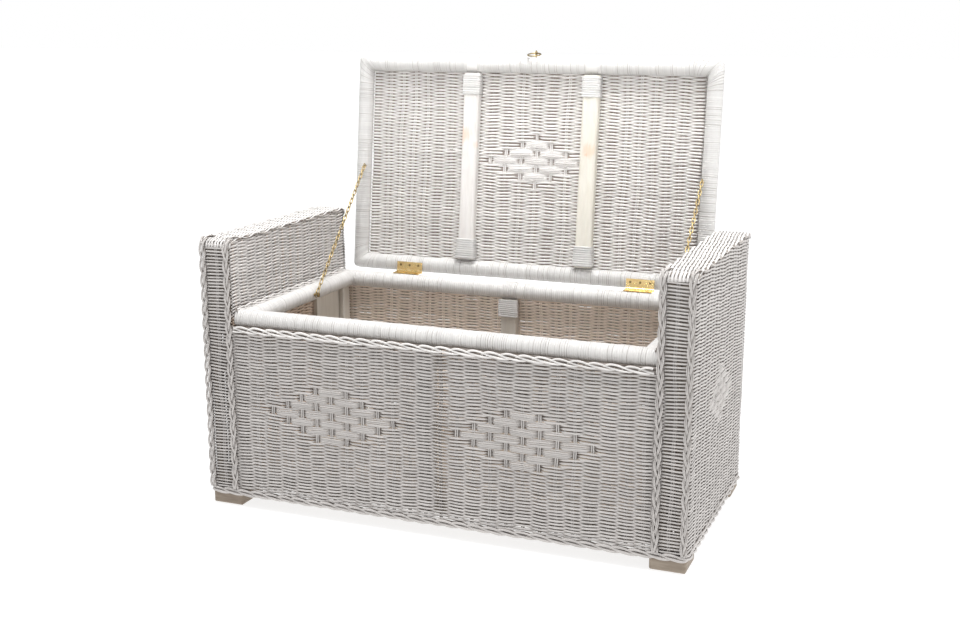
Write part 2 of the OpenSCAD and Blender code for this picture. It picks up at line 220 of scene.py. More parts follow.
# ---- weaving
REED = 1.4          # half the thickness of a weaving strand
SWING = 2.8         # how far a strand swings to either side of the stakes
STAKE = 1.7         # radius of a stake rod
STAKE_GAP = 2.1     # from the middle of a pair of stakes to each rod
STAKE_ENDS = (0.5, 2.0)     # how far inside the weave the rods stop, below and above
REED_SIDES = 6      # sides of a strand's section
FULL = 2.45         # half the height of a strand that stands alone over a stake
NARROWER = 0.3      # how much of that it loses halfway between stakes
FLAT = 0.2          # share of a bay at either stake in which a strand stays level
STEPS = np.array([0, 0.3, 0.7, 1.0])    # rings of a strand between those levels
BLOCK = 5           # strands that run together in a block of a diamond
BLOCK_DIVE = (0.6, 0.32)    # where such a strand starts to dive, and how long it takes, in stake pitches
BLOCK_BOW = (0.42, 0.19)    # how far its middle strand bows out, and how much less the others do
# Standard deviations of a strand's swing and width at a stake (shares), of its height there and
# along the row (mm), and of its thickness and tone (shares)
UNEVEN_SWING, UNEVEN_WIDTH = 0.07, 0.05
UNEVEN_HEIGHT, UNEVEN_ROW = 0.22, 0.15
UNEVEN_REED, UNEVEN_TONE = 0.04, 0.045
COVERS = (0.82, 1.0)        # thinnest and thickest coat of paint


class Weave:
    """Plain weave over paired stakes, with diamonds in block weave.

    It fills span along u and rise along v, with rows at pitch and stakes at places along u.
    A diamond is (stake number, middle along v, reach in stakes, phase): blocks lie in front at one
    phase of the chequer, and the stakes show between them at the other. draw is how far the
    strands of a block close up on each other behind.
    flats holds other values of FLAT, by the number of the stake before the bay, open_stakes
    (stake number, share of a strand's width left there), full the half width used for FULL,
    and wander scales the unevenness of rows and stakes.
    Paint sets in over the range of n in depth; where the bare colour is dark, the depths it leaves are
    painted shade.
    behind is the coat on the far side: 1 the same, -1 a thin one, 0 no difference between the sides.
    It stops below low_paint and thins out over top_bare, which paints a shadow under the rim braid.
    """

    def __init__(self, sheet, span, rise, pitch, stakes, seed, diamonds=(), flats=None, open_stakes=(),
                 behind=0.0, draw=0.75, wander=1.0, low_paint=None, top_bare=None, full=FULL,
                 depth=(-2.8, 0.6)):
        self.sheet, self.span, self.rise, self.pitch = sheet, span, rise, pitch
        self.stakes = np.asarray(stakes, float)
        self.rng = np.random.default_rng(seed)
        self.seed, self.diamonds, self.flats = seed, diamonds, flats or {}
        self.open_stakes, self.behind, self.draw, self.wander = open_stakes, behind, draw, wander
        self.low_paint, self.top_bare, self.full, self.depth = low_paint, top_bare, full, depth
        self.phases = self.rng.uniform(0, 2 * math.pi, 6)

    def warp(self, u, v):
        """Hand-made unevenness: stakes lean and rows wave a little."""
        p, k = self.phases, self.wander
        lean = k * (1.6 * np.sin(v / 62 + p[0] + u / 37) + 1.1 * np.sin(v / 27 + p[1] + u / 90))
        wave = k * (1.0 * np.sin(u / 31 + p[2] + v / 80) + 0.6 * np.sin(u / 13 + p[3] - v / 50))
        return u + lean, v + wave

    def coat(self, n, v, facing):
        """How much paint a point has: all on the faces that a brush reaches, little in the depths; with a
        dark bare colour those depths are painted shade.
        """
        paint = smooth(n, *self.depth)
        if self.behind:
            # Faces turned in towards the weave's middle go bare: with a dark bare colour, this is painted
            # shade in the gaps between strands.
            paint = paint * smooth(facing, -0.5, 0.3)
            back = smooth(-n, *self.depth) * smooth(-facing, -0.5, 0.3)
            paint = np.where(back > paint, self.behind * back, paint)
        if self.low_paint is not None:
            paint = paint * smooth(v, self.low_paint - 16, self.low_paint + 10)
        # Painted shadow under the rim braid: over the top rows the paint thins and the dark bare colour
        # shows.
        if self.top_bare is not None:
            paint = paint * (1 - 0.6 * smooth(v, self.top_bare - 8, self.top_bare + 6))
        return paint

    def signs(self, rows, heights):
        """+1 where a strand passes in front of a stake, -1 where it passes behind; and the diamonds."""
        columns = len(self.stakes) + 2
        sign = np.where((np.arange(rows)[:, None] + np.arange(columns)) % 2 == 0, 1.0, -1.0)
        inside = np.zeros(sign.shape, bool)
        for stake, height, reach, phase in self.diamonds:
            row = int(np.argmin(np.abs(heights - height)))
            for j in range(-3, 4):
                for c in range(-(reach - abs(j)), reach - abs(j) + 1):
                    low = row + BLOCK * j - BLOCK // 2
                    sign[low : low + BLOCK, stake + 1 + c] = 1 if (c + j + phase) % 2 else -1
                    inside[low : low + BLOCK, stake + 1 + c] = True
        return sign, inside

    def weft(self, strands):
        """The weaving strands, one to a row."""
        rise, pitch, rng = self.rise, self.pitch, self.rng
        rows = int(round((rise[1] - rise[0]) / pitch))
        heights = rise[0] + (np.arange(rows) + 0.5) * (rise[1] - rise[0]) / rows
        posts = np.concatenate([[2 * self.stakes[0] - self.stakes[1]], self.stakes,
                                [2 * self.stakes[-1] - self.stakes[-2]]])
        sign, inside = self.signs(rows, heights)
        shape = sign.shape
        swing = sign * SWING * (1 + rng.normal(0, UNEVEN_SWING, shape))
        apart = np.ones((rows + 1, shape[1]))
        apart[1:-1] = sign[1:] != sign[:-1]
        lean = pitch / 2 + 0.05
        fat = lean + (self.full - lean) * (apart[1:] + apart[:-1]) / 2
        fat *= 1 + rng.normal(0, UNEVEN_WIDTH, shape)
        fat = np.where(inside, np.minimum(fat, lean), fat)
        for stake, share in self.open_stakes:
            fat[:, stake + 1] *= share
        shift = rng.normal(0, UNEVEN_HEIGHT, shape)
        # The strands of a block bow out in front and draw together where they pass behind
        spread = np.zeros(shape)
        for stake, height, reach, phase in self.diamonds:
            row = int(np.argmin(np.abs(heights - height))) - 3 * BLOCK - BLOCK // 2
            for j in range(7 * BLOCK):
                spread[row + j] = j % BLOCK - (BLOCK - 1) / 2
        shift -= inside * (sign < 0) * spread * self.draw
        bow = BLOCK_BOW[0] - BLOCK_BOW[1] * spread ** 2
        swing *= 1 + inside * np.where(sign > 0, 1, self.behind == 1) * bow
        left, share, places = [], [], []
        for i in range(len(posts) - 1):
            flat = self.flats.get(i - 1, FLAT)
            for step in STEPS:
                place = posts[i] + (flat + (1 - 2 * flat) * step) * (posts[i + 1] - posts[i])
                if self.span[0] < place < self.span[1]:
                    left.append(i)
                    share.append(step)
                    places.append(place)
        for end, spot in ((0, self.span[0]), (len(places), self.span[1])):
            left.insert(end, left[0] if end == 0 else left[-1])
            share.insert(end, share[0] if end == 0 else share[-1])
            places.insert(end, spot)
        left, share, places = np.array(left), np.array(share), np.array(places)
        blend = share * share * (3 - 2 * share)
        # In a diamond a strand stays in front almost up to the stake it goes behind
        change = (sign[:, left + 1] - sign[:, left]) / 2 * (inside[:, left] | inside[:, left + 1])
        usual = FLAT + share * (1 - 2 * FLAT)
        late = BLOCK_DIVE[0] + share * BLOCK_DIVE[1]
        soon = 1 - BLOCK_DIVE[0] - (1 - share) * BLOCK_DIVE[1]
        gap = posts[left + 1] - posts[left]
        within = (places > self.span[0]) & (places < self.span[1])
        spots = places + within * gap * ((change < 0) * (late - usual) + (change > 0) * (soon - usual))

        def between(table):
            return table[:, left] * (1 - blend) + table[:, left + 1] * blend

        size = 1 + rng.normal(0, UNEVEN_REED, (rows, 1))
        half_v = (between(fat) - NARROWER * np.sin(math.pi * share)) * size
        mid_v = heights[:, None] + between(shift) + rng.normal(0, UNEVEN_ROW, (rows, 1))
        mid_n = between(swing)
        cos, sin = section(REED_SIDES)
        u, v = self.warp(spots[..., None], mid_v[..., None] + half_v[..., None] * sin)
        n = mid_n[..., None] + REED * size[..., None] * cos
        u = np.clip(u, self.span[0], self.span[1])
        tone = np.clip(1 + rng.normal(0, UNEVEN_TONE, (rows, 1, 1)), 0.85, 1.1)
        cover = rng.uniform(*COVERS, (rows, 1, 1))
        strands.add(self.sheet.place(u, v, n), tone, self.coat(n, v, cos) * cover,
                    np.broadcast_to(places, (rows, len(places))), self.seed)

    def warps(self, strands, step):
        """The stakes themselves: pairs of rods across the weave, which paint reaches in the diamonds."""
        inside = self.stakes[(self.stakes > self.span[0] + 4) & (self.stakes < self.span[1] - 4)]
        middles = np.concatenate([inside - STAKE_GAP, inside + STAKE_GAP])
        low, high = self.rise[0] + STAKE_ENDS[0], self.rise[1] - STAKE_ENDS[1]
        heights = np.linspace(low, high, max(3, int((high - low) / step)))
        cos, sin = section(REED_SIDES)
        u, v = self.warp(middles[:, None, None] + STAKE * cos, heights[None, :, None])
        n = STAKE * sin
        tone = self.rng.normal(0.97, 0.04, (len(middles), 1, 1))
        # Outside the diamonds the rods take little paint, so with a dark bare colour they are painted shade
        # in the gaps between strands.
        share = np.tile(self.rng.uniform(0.1, 0.75, len(inside)), 2)[:, None, None]
        for stake, height, reach, _ in self.diamonds:
            across = np.abs(middles - self.stakes[stake]) / (self.stakes[stake + 1] - self.stakes[stake])
            up = np.abs(heights - height) / (BLOCK * self.pitch)
            away = across[:, None, None] + up[None, :, None]
            share = np.maximum(share, 1 - smooth(away, reach + 0.3, reach + 0.9))
        shape = (len(middles), len(heights), REED_SIDES)
        rings = self.sheet.place(*(np.broadcast_to(part, shape) for part in (u, v, n)))
        paint = self.coat(n + 0.8 * np.sign(sin), v, sin) * share
        strands.add(rings, tone, np.broadcast_to(paint, shape), None, self.seed + 1)

    def build(self, name, material, replaces=(), body=BODY, place=WORLD, step=12.0):
        """Makes the piece. The stakes have a ring every step, or are left out if it's 0."""
        strands = Strands()
        self.weft(strands)
        if step:
            self.warps(strands, step)
        strands.build(name, material, "reed_weave", replaces, body, place)


# A reed of a woven border, as it goes along: units, height and depth as shares of the border's own
BORDER_PATH = np.array([
    (0.0, -0.8, -1.2), (0.15, 0.0, -0.9), (0.38, 0.85, 0.2), (0.6, 1.05, 0.75), (0.85, 0.9, 0.6),
    (1.15, 0.3, -0.5), (1.45, -0.15, 0.2), (1.8, -0.55, 0.9), (2.2, -0.92, 1.0), (2.5, -1.05, 0.4),
    (2.75, -0.9, -0.9)])


def border(strands, sheet, span, v, n, height, depth, unit, reed, seed, sides=8, steps=26):
    """A stake border: each reed arches up, dips behind the next and runs on down in front of it."""
    rng = np.random.default_rng(seed)
    count = int((span[1] - span[0]) / unit)
    unit = (span[1] - span[0]) / count
    starts = np.arange(-2, count)
    way = np.linspace(0, BORDER_PATH[-1, 0], steps)
    along = (starts[:, None] + way + rng.normal(0, 0.03, (len(starts), 1))) * unit + span[0]
    mid_v, mid_n = (np.interp(way, BORDER_PATH[:, 0], BORDER_PATH[:, k]) for k in (1, 2))
    soft = np.array([0.25, 0.5, 0.25])
    for _ in range(2):
        mid_v[1:-1] = np.convolve(mid_v, soft, "valid")
        mid_n[1:-1] = np.convolve(mid_n, soft, "valid")
    uneven = rng.normal(0, 0.06, (len(starts), 1))
    mid_v = v + height * (mid_v + uneven)
    mid_n = n + depth * (mid_n + uneven)
    cos, sin = section(sides)
    # The reed's section stands square to its slope
    slope = np.arctan(np.gradient(mid_v, axis=1) / np.gradient(along, axis=1))[..., None]
    size = reed * (1 + rng.normal(0, 0.06, (len(starts), 1, 1)))
    u = along[..., None] - size * sin * np.sin(slope)
    rings = sheet.place(np.clip(u, *span), mid_v[..., None] + size * sin * np.cos(slope),
                        mid_n[..., None] + size * cos)
    tone = np.clip(rng.normal(1.0, 0.05, len(starts)), 0.88, 1.1)
    # Paint fades in behind and on faces turned back, so the dark bare colour paints shade in the border's
    # gaps.
    coat = smooth(mid_n[..., None] - n + reed * cos, -0.8 * depth, 0.6 * depth) * smooth(cos, -0.6, 0.5)
    within = (along > span[0] + reed) & (along < span[1] - reed)
    for k in range(len(starts)):
        if within[k].sum() > 3:
            strands.add(rings[k : k + 1, within[k]], tone[k], coat[k : k + 1, within[k]], None, seed + k)


def plait(strands, sheet, span, v, n, width, depth, period, reed, seed, plies=3, per_ply=2, sides=6):
    """A flat plait: the plies cross over each other from side to side."""
    rng = np.random.default_rng(seed)
    u = np.linspace(span[0], span[1], int((span[1] - span[0]) / 5))
    cos, sin = section(sides)
    swing = width / 2 - reed * per_ply
    ends = smooth(u, span[0], span[0] + 12) * (1 - 0.5 * smooth(u, span[1] - 14, span[1]))
    for ply in range(plies):
        turn = 2 * math.pi * (u / period + ply / plies) + 0.25 * np.sin(u / 61 + seed)
        for part in range(per_ply):
            lane = (part - (per_ply - 1) / 2) * 2 * reed * (1 - 0.25 * np.abs(np.cos(turn)))
            mid_v = v + swing * np.sin(turn) + lane + 0.25 * np.sin(u / 23 + ply + part)
            mid_n = n + depth * np.sin(2 * turn) * ends + 0.2 * rng.normal()
            tone = np.clip(rng.normal(1.0, 0.06), 0.86, 1.1)
            rings = sheet.place(u[None, :, None], mid_v[None, :, None] + reed * sin,
                                mid_n[None, :, None] + reed * 0.85 * cos)
            # Paint thins on each reed's sides and in behind, which paints dark lines of shade between the
            # reeds.
            coat = smooth(mid_n[None, :, None] - n + reed * cos, -depth - reed, 0.4 * depth)
            strands.add(rings, tone, coat * smooth(cos, -0.25, 0.75), None, seed + 10 * ply + part)


TURN_W = 4.9        # width of a turn of flat cane
# Across a turn, from its seam: share of its width, and how far it lies under the pole's radius
TURN_SECTION = ((0.0, 0.75), (0.14, 0.14), (0.5, 0.0), (0.86, 0.14))
SEAM_DEPTH = 0.9    # how much deeper a wide open seam goes


def wrapped(strands, start, end, inward, radius, seed, mitred=False, sides=18, shape=None):
    """A pole bound turn by turn in flat cane. Mitred ends fan their turns round to 45 degrees."""
    rng = np.random.default_rng(seed)
    start, end, inward = (np.array(p, float) for p in (start, end, inward))
    length = np.linalg.norm(end - start)
    way = (end - start) / length
    side = np.cross(way, inward)
    turns = int(length / TURN_W)
    edges = np.concatenate([[0], np.cumsum(rng.uniform(0.86, 1.14, turns))])
    edges *= length / edges[-1]
    # One seam in five stands open
    gaps = np.where(rng.random(turns + 1) < 0.2, rng.uniform(0.7, 1.0, turns + 1),
                    rng.uniform(0, 0.4, turns + 1))
    lifts = rng.normal(0, 0.12, turns)
    places, radii, paints, tones = [], [], [], []
    tone = np.clip(rng.normal(1, 0.028, turns), 0.9, 1.06)
    for k in range(turns):
        wide = edges[k + 1] - edges[k]
        for share, dip in TURN_SECTION:
            places.append(edges[k] + share * wide)
            radii.append(radius - dip + (lifts[k] if share else -SEAM_DEPTH * gaps[k]))
            paints.append(1.0 if share else 1 - gaps[k])
            tones.append(tone[k])
    places.append(length)
    radii.append(radius - 0.5)
    paints.append(1.0)
    tones.append(1.0)
    places, radii = np.array(places), np.array(radii)
    cos, sin = section(sides)
    across, up = radii[:, None] * cos, radii[:, None] * sin
    tilt = 0.5 * np.sin(places / 37 + seed)[:, None] * sin
    fan = 3.2 * radius
    shear = mitred * (1 - smooth(places, 0, fan) - smooth(places, length - fan, length))
    along = places[:, None] + tilt * (np.abs(shear[:, None]) < 0.01) + shear[:, None] * across
    rings = start + along[..., None] * way + across[..., None] * inward + up[..., None] * side
    if shape is not None:
        rings = shape(rings)
    strands.add(rings[None], np.array(tones)[None], np.array(paints)[None], places[None], seed)


def turns_round(strands, profile, frame_of, places, half, seed, sides=8, flare=None, square=1.0):
    """Turns of reed laid side by side: each follows profile, an open line across what it binds.

    half is half a turn's width and thickness, flare how far each stands out, and square below 1
    flattens its section.
    """
    rng = np.random.default_rng(seed)
    cos, sin = (np.sign(wave) * np.abs(wave) ** square for wave in section(sides))
    for k, place in enumerate(places):
        grow = 0.0 if flare is None else flare[k]
        line, outs = profile(grow + rng.normal(0, 0.12))
        ring_a = line[:, None, :] + (half[1] * cos)[None, :, None] * outs[:, None, :]
        slant = 0.25 * rng.normal() * np.linspace(-1, 1, len(line))
        lift = place + half[0] * sin[None, :] + slant[:, None]
        rings = frame_of(ring_a[..., 0], ring_a[..., 1], np.broadcast_to(lift, ring_a.shape[:2]))
        strands.add(rings[None], np.clip(rng.normal(1, 0.04), 0.9, 1.08), 0.96, None, seed + k)


def u_profile(half_w, deep, rise):
    """A line up one side, across and down the other, with rounded corners, and its outward directions."""
    def profile(grow):
        w, top, r = half_w + grow, rise + grow, 5.0
        turn = np.linspace(0, math.pi / 2, 6)
        right = np.stack([w - r + r * np.cos(turn), top - r + r * np.sin(turn)], -1)
        right_out = np.stack([np.cos(turn), np.sin(turn)], -1)
        flip = np.array([-1, 1])
        line = np.concatenate([[[w, -deep]], right, right[::-1] * flip, [[-w, -deep]]])
        outs = np.concatenate([[[1, 0]], right_out, right_out[::-1] * flip, [[-1, 0]]])
        return line, outs
    return profile


def arc_profile(radius, low, high, count=16):
    """Part of a circle, from one angle to another."""
    def profile(grow):
        turn = np.radians(np.linspace(low, high, count))
        outs = np.stack([np.cos(turn), np.sin(turn)], -1)
        return (radius + grow) * outs, outs
    return profile


# ---- materials
class Material:
    """A material made node by node. Inputs take a value, or another node's output."""

    def __init__(self, name, **sockets):
        self.material = bpy.data.materials.new(name)
        self.material.use_nodes = True
        self.tree = self.material.node_tree
        self.shader = self.tree.nodes["Principled BSDF"]
        for label, value in sockets.items():
            self.shader.inputs[label.replace("_", " ")].default_value = value

    def node(self, kind, inputs=(), **settings):
        made = self.tree.nodes.new("ShaderNode" + kind)
        for label, value in settings.items():
            setattr(made, label, value)
        for label, value in dict(inputs).items():
            self.put(made, label, value)
        return made

    def put(self, made, label, value):
        if isinstance(value, bpy.types.NodeSocket):
            self.tree.links.new(value, made.inputs[label])
        else:
            made.inputs[label].default_value = value

    def attribute(self, name, vector=False):
        made = self.node("Attribute", attribute_name=name)
        return made.outputs["Vector" if vector else "Fac"]

    def coordinates(self, scale):
        place = self.node("TexCoord").outputs["Object"]
        return self.node("Mapping", {"Vector": place, "Scale": scale}).outputs["Vector"]

    def noise(self, vector, scale, detail=3.0, roughness=0.55):
        """Noise over a vector, or over the object when the vector is a scale in x, y and z."""
        if isinstance(vector, tuple):
            vector = self.coordinates(vector)
        return self.node("TexNoise", {"Vector": vector, "Scale": scale, "Detail": detail,
                                      "Roughness": roughness}).outputs["Fac"]

    def span(self, value, low, high, to_low=0.0, to_high=1.0):
        return self.node("MapRange", {"Value": value, "From Min": low, "From Max": high,
                                      "To Min": to_low, "To Max": to_high}).outputs["Result"]

    def math(self, operation, a, b):
        return self.node("Math", {0: a, 1: b}, operation=operation).outputs[0]

    def mix(self, share, a, b, blend="MIX"):
        """Mixes two colours: each a node's output, or red, green and blue."""
        made = self.node("Mix", data_type="RGBA", blend_type=blend)
        for k, value in ((0, share), (6, a), (7, b)):
            self.put(made, k, (*value, 1) if isinstance(value, tuple) else value)
        return made.outputs[2]

    def grey(self, value):
        return self.node("CombineColor", {0: value, 1: value, 2: value}).outputs[0]

    def bump(self, height, strength, distance):
        return self.node("Bump", {"Height": height, "Strength": strength,
                                  "Distance": distance}).outputs["Normal"]

    def finish(self, colour, normal=None, roughness=None):
        self.put(self.shader, "Base Color", colour)
        if normal is not None:
            self.put(self.shader, "Normal", normal)
        if roughness is not None:
            self.put(self.shader, "Roughness", roughness)
        return self.material


def reed_material(name, paint, bare, dark, thin=None):
    """Whitewashed reed: paint on the high sides of each strand, bare reed in the depths, where a dark bare
    colour is painted shade.

    thin is the colour of the thin coat that a negative amount of paint stands for.
    """
    m = Material(name, Roughness=0.62, Specular_IOR_Level=0.35)
    grain = m.attribute("grain", vector=True)
    streaks = m.noise(grain, 2.6, 4.0, 0.6)
    patches = m.noise((9, 9, 9), 1.0, 3.0, 0.5)
    worn = m.span(streaks, 0.25, 0.75, -0.14, 0.11)
    ragged = m.math("ADD", m.attribute("paint"), worn)
    cover = m.span(ragged, 0.05, 0.8)
    wood = m.mix(streaks, dark, bare)
    if thin:
        wood = m.mix(m.span(m.math("SUBTRACT", worn, m.attribute("paint")), 0.05, 0.6), wood, thin)
    shade = m.math("MULTIPLY", m.attribute("tone"), m.span(streaks, 0.2, 0.8, 0.93, 1.04))
    shade = m.math("MULTIPLY", shade, m.span(patches, 0.3, 0.7, 0.95, 1.03))
    painted = m.mix(1.0, paint, m.grey(shade), "MULTIPLY")
    fine = m.noise(grain, 7.0, 2.0)
    return m.finish(m.mix(cover, wood, painted), m.bump(fine, 0.35, 0.0004),
                    m.span(streaks, 0.3, 0.7, 0.55, 0.72))


def cane_material(name, paint, bare):
    """Flat cane, painted: fine long fibres, and bare cane in the seams between turns."""
    m = Material(name, Specular_IOR_Level=0.4)
    grain = m.attribute("grain", vector=True)
    fibres = m.noise((420, 420, 420), 1.0, 2.0)
    patches = m.noise((14, 14, 14), 1.0, 3.0)
    blots = m.noise(grain, 1.3, 3.0)
    seam = m.span(m.attribute("paint"), 0.1, 0.95)
    shade = m.math("MULTIPLY", m.attribute("tone"), m.span(patches, 0.3, 0.7, 0.955, 1.025))
    shade = m.math("MULTIPLY", shade, m.span(blots, 0.25, 0.75, 0.975, 1.015))
    painted = m.mix(1.0, paint, m.grey(shade), "MULTIPLY")
    return m.finish(m.mix(seam, bare, painted), m.bump(fibres, 0.18, 0.0003),
                    m.span(patches, 0.3, 0.7, 0.42, 0.55))


def wood_material(name, base, streak, stretch, knots=(), knot_colour=None):
    """Sawn wood with its grain along the smallest part of stretch. A knot is (place, size, strength)."""
    m = Material(name, Specular_IOR_Level=0.35)
    grain = m.noise(stretch, 1.0, 5.0, 0.62)
    lines = m.noise(stretch, 3.1, 3.0)
    patches = m.noise((7, 7, 7), 1.0, 2.0)
    colour = m.mix(m.span(grain, 0.35, 0.68), streak, base)
    shade = m.math("MULTIPLY", m.span(patches, 0.3, 0.7, 0.94, 1.03), m.span(lines, 0.3, 0.7, 0.96, 1.02))
    colour = m.mix(1.0, colour, m.grey(shade), "MULTIPLY")
    raw = m.node("TexCoord").outputs["Object"]
    for spot, size, strength in knots:
        far = m.node("VectorMath", {0: raw, 1: spot}, operation="DISTANCE").outputs["Value"]
        ragged = m.math("ADD", far, m.span(lines, 0.3, 0.7, -0.3 * size, 0.3 * size))
        colour = m.mix(m.span(ragged, 0.35 * size, size, strength, 0.0), colour, knot_colour)
    return m.finish(colour, m.bump(grain, 0.25, 0.0005), m.span(grain, 0.3, 0.7, 0.5, 0.66))


def brass_material(name, base, tarnish):
    """Brass with clouds of tarnish and fine scratches."""
    m = Material(name, Metallic=1.0)
    cloud = m.noise((90, 90, 90), 1.0, 4.0)
    scratch = m.noise((60, 900, 900), 1.0, 2.0)
    colour = m.mix(m.span(cloud, 0.42, 0.72), base, tarnish)
    return m.finish(colour, m.bump(scratch, 0.08, 0.0002), m.span(cloud, 0.3, 0.7, 0.2, 0.36))


SEAM_BROWN = (0.22, 0.18, 0.15)
ALONG_X, ALONG_Z, ALONG_Y = (9, 60, 90), (70, 70, 6), (22, 3, 22)
# A dulled copy of the whitewashed reed for the walls, as painted shade. Its near-black bare colours are
# painted shade in the recesses.
front_reed = reed_material("painted_reed_shaded", (0.62, 0.592, 0.572), (0.22, 0.178, 0.15), (0.12, 0.095, 0.08))
# Reed lightened as painted light for the inside of the box, where the lamps reach little.
inside_reed = reed_material("bare_reed_lit", (0.69, 0.66, 0.642), (0.86, 0.70, 0.575), (0.60, 0.475, 0.38))
# The back wall: its dark depths colours are painted shade, and its thin inside coat is lightened as painted
# light.
back_reed = reed_material("back_reed", (0.64, 0.612, 0.592), (0.38, 0.285, 0.21), (0.23, 0.165, 0.12),
                          thin=(0.99, 0.87, 0.765))
# A brighter copy of the whitewashed reed for the lid, the arm tops and the rim braid: painted light.
lid_reed = reed_material("painted_reed_lid_lit", (0.81, 0.785, 0.765), (0.36, 0.30, 0.25),
                         (0.22, 0.175, 0.145))
cane = cane_material("painted_cane", (0.73, 0.715, 0.70), SEAM_BROWN)
# A darker copy of the painted cane for the lid's poles: painted shade on their brightly lit wraps.
lid_cane = cane_material("painted_cane_lid_shaded", (0.68, 0.67, 0.655), SEAM_BROWN)
strap_cane = cane_material("painted_strap", (0.76, 0.745, 0.725), SEAM_BROWN)
bare_wood = wood_material("bare_wood", (0.37, 0.31, 0.25), (0.27, 0.22, 0.175), ALONG_Y)
painted_wood = wood_material("painted_wood", (0.74, 0.70, 0.64), (0.64, 0.59, 0.52), ALONG_Z)
foot_wood = wood_material("pickled_wood", (0.40, 0.335, 0.27), (0.25, 0.20, 0.155), ALONG_X)
brass = brass_material("brass", (1.0, 0.78, 0.38), (0.84, 0.60, 0.27))
chain_brass = brass_material("chain_brass", (0.47, 0.37, 0.19), (0.26, 0.19, 0.10))
screw_brass = brass_material("screw_brass", (0.42, 0.29, 0.12), (0.25, 0.17, 0.08))

# ---- CAD nodes that show as they are
def dress(names, material):
    for name in names:
        node = frame["nodes"][name]
        node.data.materials.clear()
        node.data.materials.append(material)


def soften(names, width):
    for name in names:
        node = frame["nodes"][name]
        node.modifiers.new("weld", "WELD").merge_threshold = 1e-5
        bevel = node.modifiers.new("edges", "BEVEL")
        bevel.width, bevel.segments, bevel.limit_method = width, 2, "ANGLE"


dress(["floor_panel", "base_rails_long", "base_rails_side", "arm_posts_left", "arm_posts_right",
       "arm_top_frame_left", "arm_top_frame_right"], bare_wood)
dress(["side_boards", "box_corner_posts", "mid_posts"], painted_wood)


def on_lid(x, y, z):
    """A place in the lid's own frame, as the open lid has it."""
    return tuple(LID @ (Vector((x, y, z)) * MM))


# Wood shows through the lid battens' paint in a patch on each, the right one round a knot
batten_x, batten_wide = middle("lid_batten_right", place=LID)[0], 17.5
left_patches = [(on_lid(-batten_x - batten_wide, -345, 2), 0.026, 0.55),
                (on_lid(-batten_x + batten_wide, -322, 6), 0.012, 0.3)]
right_patches = [(on_lid(batten_x + 3, -318, 2), 0.020, 0.5), (on_lid(batten_x - 3, -308, 2), 0.005, 0.75)]
for side, base, streak, patches, knot_colour in (
    ("left", (0.80, 0.78, 0.755), (0.75, 0.72, 0.69), left_patches, (0.80, 0.52, 0.36)),
    ("right", (0.79, 0.765, 0.69), (0.74, 0.70, 0.61), right_patches, (0.72, 0.50, 0.33)),
):
    wood = wood_material(f"batten_wood_{side}", base, streak, ALONG_Z, patches, knot_colour)
    dress([f"lid_batten_{side}"], wood)
dress([f"foot_{end}_{side}" for end in ("front", "back") for side in SIDES], foot_wood)
for starts, metal in (("hinge_", brass), ("hinge_screws_", screw_brass),
                      (("chain_", "ring_pull_"), chain_brass)):
    dress([name for name in frame["nodes"] if name.startswith(starts)], metal)
soften(["lid_batten_left", "lid_batten_right", "side_boards", "box_corner_posts"], 0.0012)

# ---- front and back walls
STAKE_PITCH = 35.2
ROW_PITCH = 3.6
DIAMOND_Z = 238.0
LEFT_DIAMOND, RIGHT_DIAMOND = 6, 18     # the stakes that they stand on
SEAM_STAKE = 13
RUN_ON = 8.0        # the front wall's strands run on behind the plaits
BACK_RUN_ON = 3.0

low, high = box("front_panel")
inner_x = high[0]
wall_low, wall_high = low[2] - 9, high[2] - 4
wall_stakes = spaced(high[0] - low[0], int((high[0] - low[0]) / STAKE_PITCH))
wall_y = (low[1] + high[1]) / 2
sheet = Sheet([(low[0] - RUN_ON, wall_y, 0), (high[0] + RUN_ON, wall_y, 0)], (0, 0, 1))
Weave(sheet, (0, sheet.length), (wall_low, wall_high), ROW_PITCH, wall_stakes + RUN_ON, 11,
      diamonds=[(stake, DIAMOND_Z, 4, 0) for stake in (LEFT_DIAMOND, RIGHT_DIAMOND)],
      open_stakes=[(SEAM_STAKE, 0.7)], top_bare=box("rim_braid")[0][2] + 2, depth=(-2.2, 0.8),
      ).build("front_weave", front_reed, ["front_panel"])

low, high = box("back_panel")
wall_y = (low[1] + high[1]) / 2
sheet = Sheet([(high[0] + BACK_RUN_ON, wall_y, 0), (low[0] - BACK_RUN_ON, wall_y, 0)], (0, 0, 1))
Weave(sheet, (0, sheet.length), (wall_low, high[2]), ROW_PITCH, wall_stakes + BACK_RUN_ON, 12,
      behind=-1, depth=(-1.9, 0.9)).build("back_weave", back_reed, ["back_panel"])

# ---- arms
SIDE_STAKES = 16
LADDER_STAKE = 37.5     # from the edge of the arm's front face to its one stake
CORNER_STAKE = 95.0     # and to the first stake past the corner
ARM_DIAMOND_Z = 305.0
CORNER_R, CURL_R = 10.0, 13.0
TUCK = 7.0          # how far in from a plait's edge the arm's front face starts
INNER_TUCK = 2.5    # how far the inner wall runs on behind the front one
CURL_DOWN = 9.0     # how far the top's strands run down over its ends
ARM_BRAID_W, ARM_BRAID_REED = 16.5, 1.5


